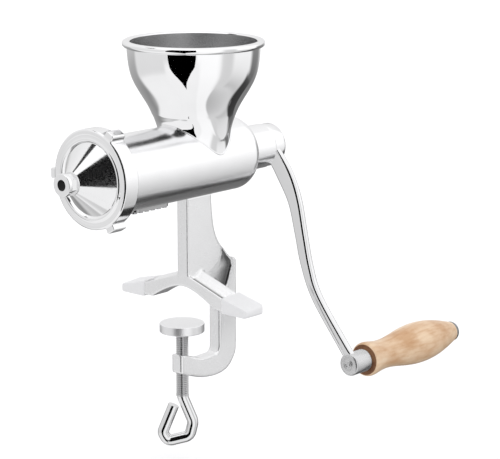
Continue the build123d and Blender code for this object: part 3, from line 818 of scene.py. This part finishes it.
def dish_share(side, y, z):
    """How far a point of the stand lies in the dish along the top of an arm, from 0 to 1."""
    if side < STAND_HALF + DISH_SIDE or z > DISH_TOP or z < DISH_LOW[0] - side * DISH_LOW[1]:
        return 0
    return smooth_step(y, *DISH_NEAR) * (1 - smooth_step(y, *DISH_FAR))


def square_lug(mesh):
    """Blunts the front of the round screw boss and makes its sides flush with the bar."""
    for vertex in mesh.vertices:
        x, y, z = vertex.co / MM
        radius = math.hypot(x, y)
        if z > LUG_TOP or y > LUG_REACH or radius < SCREW_HOLE:
            continue
        if y < 0:
            wide = abs(x / radius * BOSS_R / STAND_HALF) ** LUG_SQUARENESS
            deep = abs(y / radius) ** LUG_SQUARENESS
            edge = BOSS_R * (wide + deep) ** (-1 / LUG_SQUARENESS)
            share = (edge - SCREW_HOLE) / (BOSS_R - SCREW_HOLE)
            grow = (SCREW_HOLE + (radius - SCREW_HOLE) * share) / radius
            vertex.co.x *= grow
            vertex.co.y *= grow
        vertex.co.x = math.copysign(min(abs(vertex.co.x), STAND_HALF * MM), x)


def make_stand():
    stand = voxel_copy("stand_frame", "stand_casting", STAND_VOXEL * MM, cast_steel)
    carve_scoops(stand.data)
    square_lug(stand.data)
    near_barrel = barrel_r / MM + BARREL_KEEP

    def moves(place):
        clear_of_screw = math.hypot(place.x, place.y) > SCREW_HOLE or place.z > 0
        return clear_of_screw and math.hypot(place.x, place.z - axis_z / MM) > near_barrel

    relax(stand, rounds=30, moves=moves)
    hand_in(stand, "stand", "satin_steel", "stand_frame")


def make_foot_covers():
    for side in ("left", "right"):
        node = f"foot_cover_{side}"
        cover = voxel_copy(node, f"soft_foot_{side}", COVER_VOXEL * MM, cover_white, hull=True)
        relax(cover, rounds=10)
        hand_in(cover, "stand", "white_cover", node)


# ---- ring nut: rolled inner lip, dished face and an arc arrow cut in it ----
# The ring's face from its inner to its outer edge, as (radius, distance behind its foremost plane).
RING_FACE = [(27.4, 1.6), (27.9, 0.55), (28.9, 0.05), (30.0, 0.15), (31.2, 0.85), (32.6, 1.05),
             (34.4, 0.75), (36.0, 0.70), (37.0, 1.3), (37.8, 1.6)]
FACE_REACH = 3.0          # the face's shape fades out over this depth
RING_VOXEL = 0.4
RING_BORE_R = 30.4        # behind the face, points inside this radius stay where they are
ARROW_RADII = (32.2, 34.3)
ARROW_HALF = 0.5
ARROW_DEPTH = 0.32
ARROW_FROM = math.radians(100)
ARROW_TO = math.radians(160)


def face_drop(radius):
    """How far the ring's face lies behind its foremost plane at a radius."""
    for (r0, drop0), (r1, drop1) in zip(RING_FACE, RING_FACE[1:]):
        if radius <= r1:
            return drop0 + (drop1 - drop0) * smooth_step(radius, r0, r1)
    return RING_FACE[-1][1]


def arrow_cut(radius, angle):
    """Depth of the arrow's two arcs at a place on the ring's face."""
    if not ARROW_FROM < angle < ARROW_TO:
        return 0
    return ARROW_DEPTH * max(0, *(1 - abs(radius - groove) / ARROW_HALF for groove in ARROW_RADII))


def make_ring():
    ring = voxel_copy("ring_nut", "ring_casting", RING_VOXEL * MM, polished)
    front = ring_low.y / MM
    middle_z = axis_z / MM

    def moves(place):
        clear_of_bore = math.hypot(place.x, place.z - middle_z) > RING_BORE_R
        return clear_of_bore or place.y < front + FACE_REACH

    relax(ring, rounds=5, moves=moves)
    for vertex in ring.data.vertices:
        x, y, z = vertex.co / MM
        behind = y - front
        if behind > FACE_REACH:
            continue
        radius = math.hypot(x, z - middle_z)
        angle = math.atan2(x, z - middle_z)
        share = 1 - smooth_step(behind, 0, FACE_REACH)
        drop = face_drop(radius) + (arrow_cut(radius, angle) if behind < RING_VOXEL else 0)
        vertex.co.y = (y + drop * share) * MM
    hand_in(ring, "ring_nut", "satin_steel", "ring_nut")


# ---- outlet nozzle: bright outside, its bore dark with painted shade ----
BORE_REACH = 4.4


def make_nozzle():
    mesh = frame["nodes"]["outlet_nozzle"].data.copy()
    mesh.name = "nozzle_body"
    nozzle = link(bpy.data.objects.new("nozzle_body", mesh))
    mesh.materials.clear()
    mesh.materials.append(polished)
    mesh.materials.append(bore_shade)
    # painted shade: faces inside the bore take the near-black material
    for polygon in mesh.polygons:
        place = polygon.center
        if math.hypot(place.x, place.z - axis_z) < BORE_REACH * MM:
            polygon.material_index = 1
    hand_in(nozzle, "outlet", "satin_steel", "outlet_nozzle")


# ---- crank: hub, S-shaped bar of oval section, boss and riveted spindle ----
# The bar's two edges as (x, z from the crank's axis), from the hub to the boss.
BAR_LEFT = [(1.0, -2.0), (7.9, -11.6), (16.0, -23.2), (28.4, -43.4), (35.4, -67.6), (41.6, -91.0),
            (53.7, -117.3), (81.4, -152.4), (88.0, -160.5)]
BAR_RIGHT = [(9.0, 7.0), (17.5, -1.0), (31.2, -18.7), (40.0, -39.1), (46.3, -67.0), (52.4, -92.3),
             (61.6, -113.9), (90.0, -149.5), (97.0, -156.0)]
BAR_FRONT_Y = 91.5
BAR_THICK = 7.0
BAR_SQUARENESS = 3.0
BAR_SIDES = 48
# Outlines of turned pieces as (radius, y).
HUB_OUTLINE = [(5.6, 91.2), (15.8, 91.2), (16.7, 91.5), (17.0, 92.3), (17.0, 102.6), (16.6, 103.5),
               (15.6, 104.0), (5.6, 104.0)]
BOSS_OUTLINE = [(4.1, 91.0), (7.2, 91.0), (7.6, 91.2), (8.3, 91.5), (8.8, 92.1), (9.0, 93.0), (9.0, 108.9),
                (8.7, 109.7), (7.9, 110.0), (4.1, 110.0)]
RIVET_OUTLINE = [(0, 90.75), (0.9, 90.55), (1.5, 90.75), (1.8, 90.95), (2.1, 90.6), (2.7, 90.25),
                 (3.3, 90.3), (3.5, 90.8), (3.8, 90.85), (4.2, 90.6), (4.6, 90.95), (4.0, 90.96),
                 (4.0, 227.0), (0, 227.0)]
spindle_centre = (grip_x, grip_z)


def in_mm(outline):
    """An outline in millimetres, turned into metres."""
    return [(radius * MM, height * MM) for radius, height in outline]


def squarer(share):
    """Turns a sine or cosine into a superellipse's."""
    return math.copysign(abs(share) ** (2 / BAR_SQUARENESS), share)


def make_bar():
    """The bar between its two edges, of squarish oval section."""
    left_edge = through(BAR_LEFT)
    right_edge = through(BAR_RIGHT)
    points = []
    for (x0, z0), (x1, z1) in zip(left_edge, right_edge):
        for side in range(BAR_SIDES):
            angle = 2 * math.pi * side / BAR_SIDES
            across = squarer(math.cos(angle))
            deep = squarer(math.sin(angle))
            points.append((
                ((x0 + x1) / 2 + across * (x1 - x0) / 2) * MM,
                (BAR_FRONT_Y + BAR_THICK * (1 + deep) / 2) * MM,
                axis_z + ((z0 + z1) / 2 + across * (z1 - z0) / 2) * MM,
            ))
    rows = len(left_edge)
    faces = [(a, d, c, b) for a, b, c, d in grid_faces(rows, BAR_SIDES)]
    faces.append(tuple(range(BAR_SIDES)))
    faces.append(tuple((rows - 1) * BAR_SIDES + side for side in reversed(range(BAR_SIDES))))
    return mesh_piece("crank_bar", points, faces, [bar_steel], sharp=60)


def make_crank():
    bar = make_bar()
    hub = lathe("crank_hub", in_mm(HUB_OUTLINE), about_y((0, axis_z)), [polished], 128, closed=True)
    about_spindle = about_y(spindle_centre)
    boss = lathe("crank_boss", in_mm(BOSS_OUTLINE), about_spindle, [boss_steel], 96, closed=True, sharp=50)
    rivet = lathe("spindle_rivet", in_mm(RIVET_OUTLINE), about_spindle, [boss_steel], 64, sharp=70)
    hand_in(bar, "crank", "polished_steel", "crank_arm")
    hand_in(hub, "crank", "polished_steel")
    hand_in(boss, "crank", "satin_steel")
    hand_in(rivet, "crank", "satin_steel", "handle_spindle")


# ---- grip: turned beech with bare end grain at the collar, and a steel end cap ----
GRIP_SIDE = [(12.3, 111.0), (13.3, 111.5), (13.8, 113.5), (13.6, 117.0), (12.8, 121.0), (12.0, 127.0),
             (11.6, 134.0), (12.4, 145.0), (15.0, 159.0), (16.55, 172.0), (16.55, 185.0), (15.2, 197.0),
             (12.8, 208.0), (10.4, 217.0), (8.9, 222.0), (8.4, 224.0)]
GRIP_FACE = [(4.2, 224.0), (4.2, 112.6), (7.5, 112.2), (11.0, 111.4), (12.3, 111.0)]
CAP_OUTLINE = [(0, 224.4), (8.15, 224.4), (8.2, 224.9), (8.1, 226.4), (7.6, 227.5), (6.4, 228.2),
               (3.5, 228.5), (0, 228.6)]


def make_grip():
    side = flowing(GRIP_SIDE)
    outline = side + GRIP_FACE[:-1]
    slots = [0] * len(side) + [1] * (len(GRIP_FACE) - 1)
    about_spindle = about_y(spindle_centre)
    grip = lathe("turned_grip", in_mm(outline), about_spindle, [wood, end_grain], 128, closed=True,
                 sharp=50, slots=slots)
    cap = lathe("grip_end_cap", in_mm(CAP_OUTLINE), about_spindle, [cap_steel], 96, sharp=50)
    hand_in(grip, "grip", "wood", "grip")
    hand_in(cap, "crank", "satin_steel", "grip_cap")


frame["nodes"]["barrel"].data.materials[0] = brushed
# painted shade: the juice screen's strip takes the darker steel for the shade under the barrel
frame["nodes"]["juice_screen"].data.materials[0] = strip_painted_shade

make_hopper()
make_neck_weld()
make_clamp_screw()
make_stand()
make_foot_covers()
make_ring()
make_nozzle()
make_crank()
make_grip()

# Left out of the other pieces' mirror reflections, so that these keep to the studio's tones.
for name in ("turned_grip", "ring_casting", "nozzle_body", "crank_hub", "stand_casting", "soft_foot_left",
             "soft_foot_right"):
    bpy.data.objects[name].visible_glossy = False
for node in ("barrel", "juice_screen", "auger", "nose_cone", "cone_gasket", "thrust_washer", "rear_bush",
             "outlet_washer", "shaft_seal", "crank_bolt", "crank_washer"):
    frame["nodes"][node].visible_glossy = False
# The grip throws no wood-coloured light on the pieces round it.
bpy.data.objects["turned_grip"].visible_diffuse = False

add_camera()
add_studio()
bpy.context.scene.view_settings.view_transform = "Standard"
